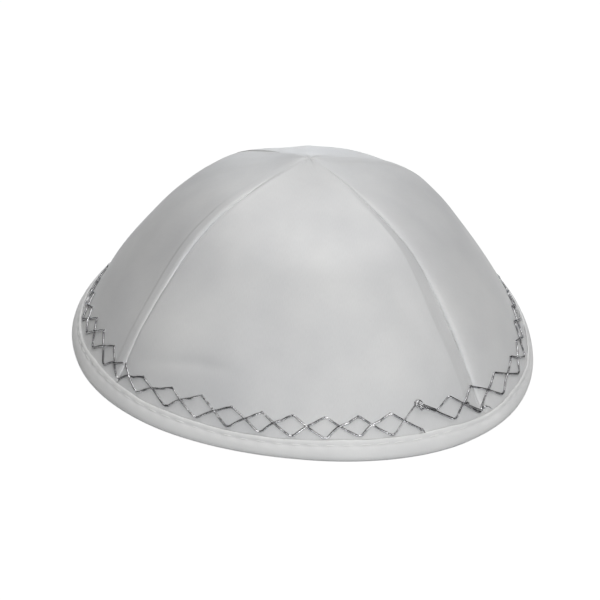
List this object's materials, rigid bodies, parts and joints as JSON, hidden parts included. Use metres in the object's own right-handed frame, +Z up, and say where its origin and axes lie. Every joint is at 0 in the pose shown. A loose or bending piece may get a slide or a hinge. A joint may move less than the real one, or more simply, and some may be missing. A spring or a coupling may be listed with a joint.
{
  "type": "kippah skullcap",
  "caption": "White satin skullcap of four sewn quarter panels with a folded tape binding round the rim, standing on its rim with the head hollow open underneath.",
  "frame": {"origin": "middle of the rim's width and depth, on the surface that the cap stands on", "axes": "+Z up through the crown, -Y towards the front panel, +X towards the right panel as seen from the front"},
  "size_m": [0.1642, 0.1632, 0.064],
  "materials": {
    "satin": "white satin",
    "binding": "white woven tape",
    "silver_thread": "twisted metallic silver thread"
  },
  "bodies": {
    "root": {"front_panel": "satin", "right_panel": "satin", "back_panel": "satin", "left_panel": "satin", "rim_binding": "binding"}
  },
  "joints": []
}
